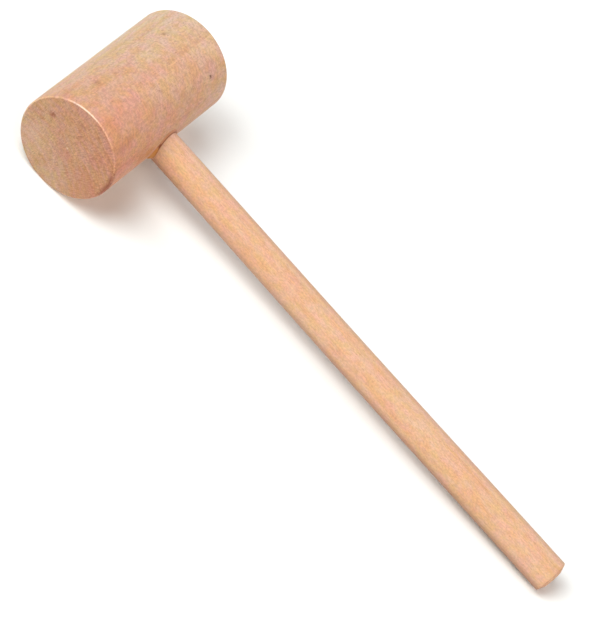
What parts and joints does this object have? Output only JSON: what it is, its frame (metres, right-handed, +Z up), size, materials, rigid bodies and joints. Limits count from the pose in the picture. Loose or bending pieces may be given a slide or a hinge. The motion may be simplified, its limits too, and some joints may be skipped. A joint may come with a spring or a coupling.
{
  "type": "wooden mallet",
  "caption": "Small turned wooden mallet: a plain cylindrical hardwood head with eased rims, on a round handle that thickens slightly towards its butt and is glued square into the side of the head.",
  "frame": {"origin": "centre of the bottom of the bounding box, on the bench that the mallet lies on", "axes": "+Z up from the bench; X along the head's axis; the handle points towards -Y and slopes down until its butt touches the bench, so the head is at the +Y end"},
  "size_m": [0.052, 0.1758, 0.0286],
  "materials": {
    "head_wood": "smooth turned hardwood, pinkish tan, fine straight grain along the head, bare and matt",
    "handle_wood": "smooth turned hardwood, warm yellow-orange, long straight grain, soft satin",
    "wood_glue": "dried amber wood glue, slightly glossy"
  },
  "bodies": {
    "root": {"head": "head_wood", "handle": "handle_wood", "glue_bond": "wood_glue"}
  },
  "joints": []
}
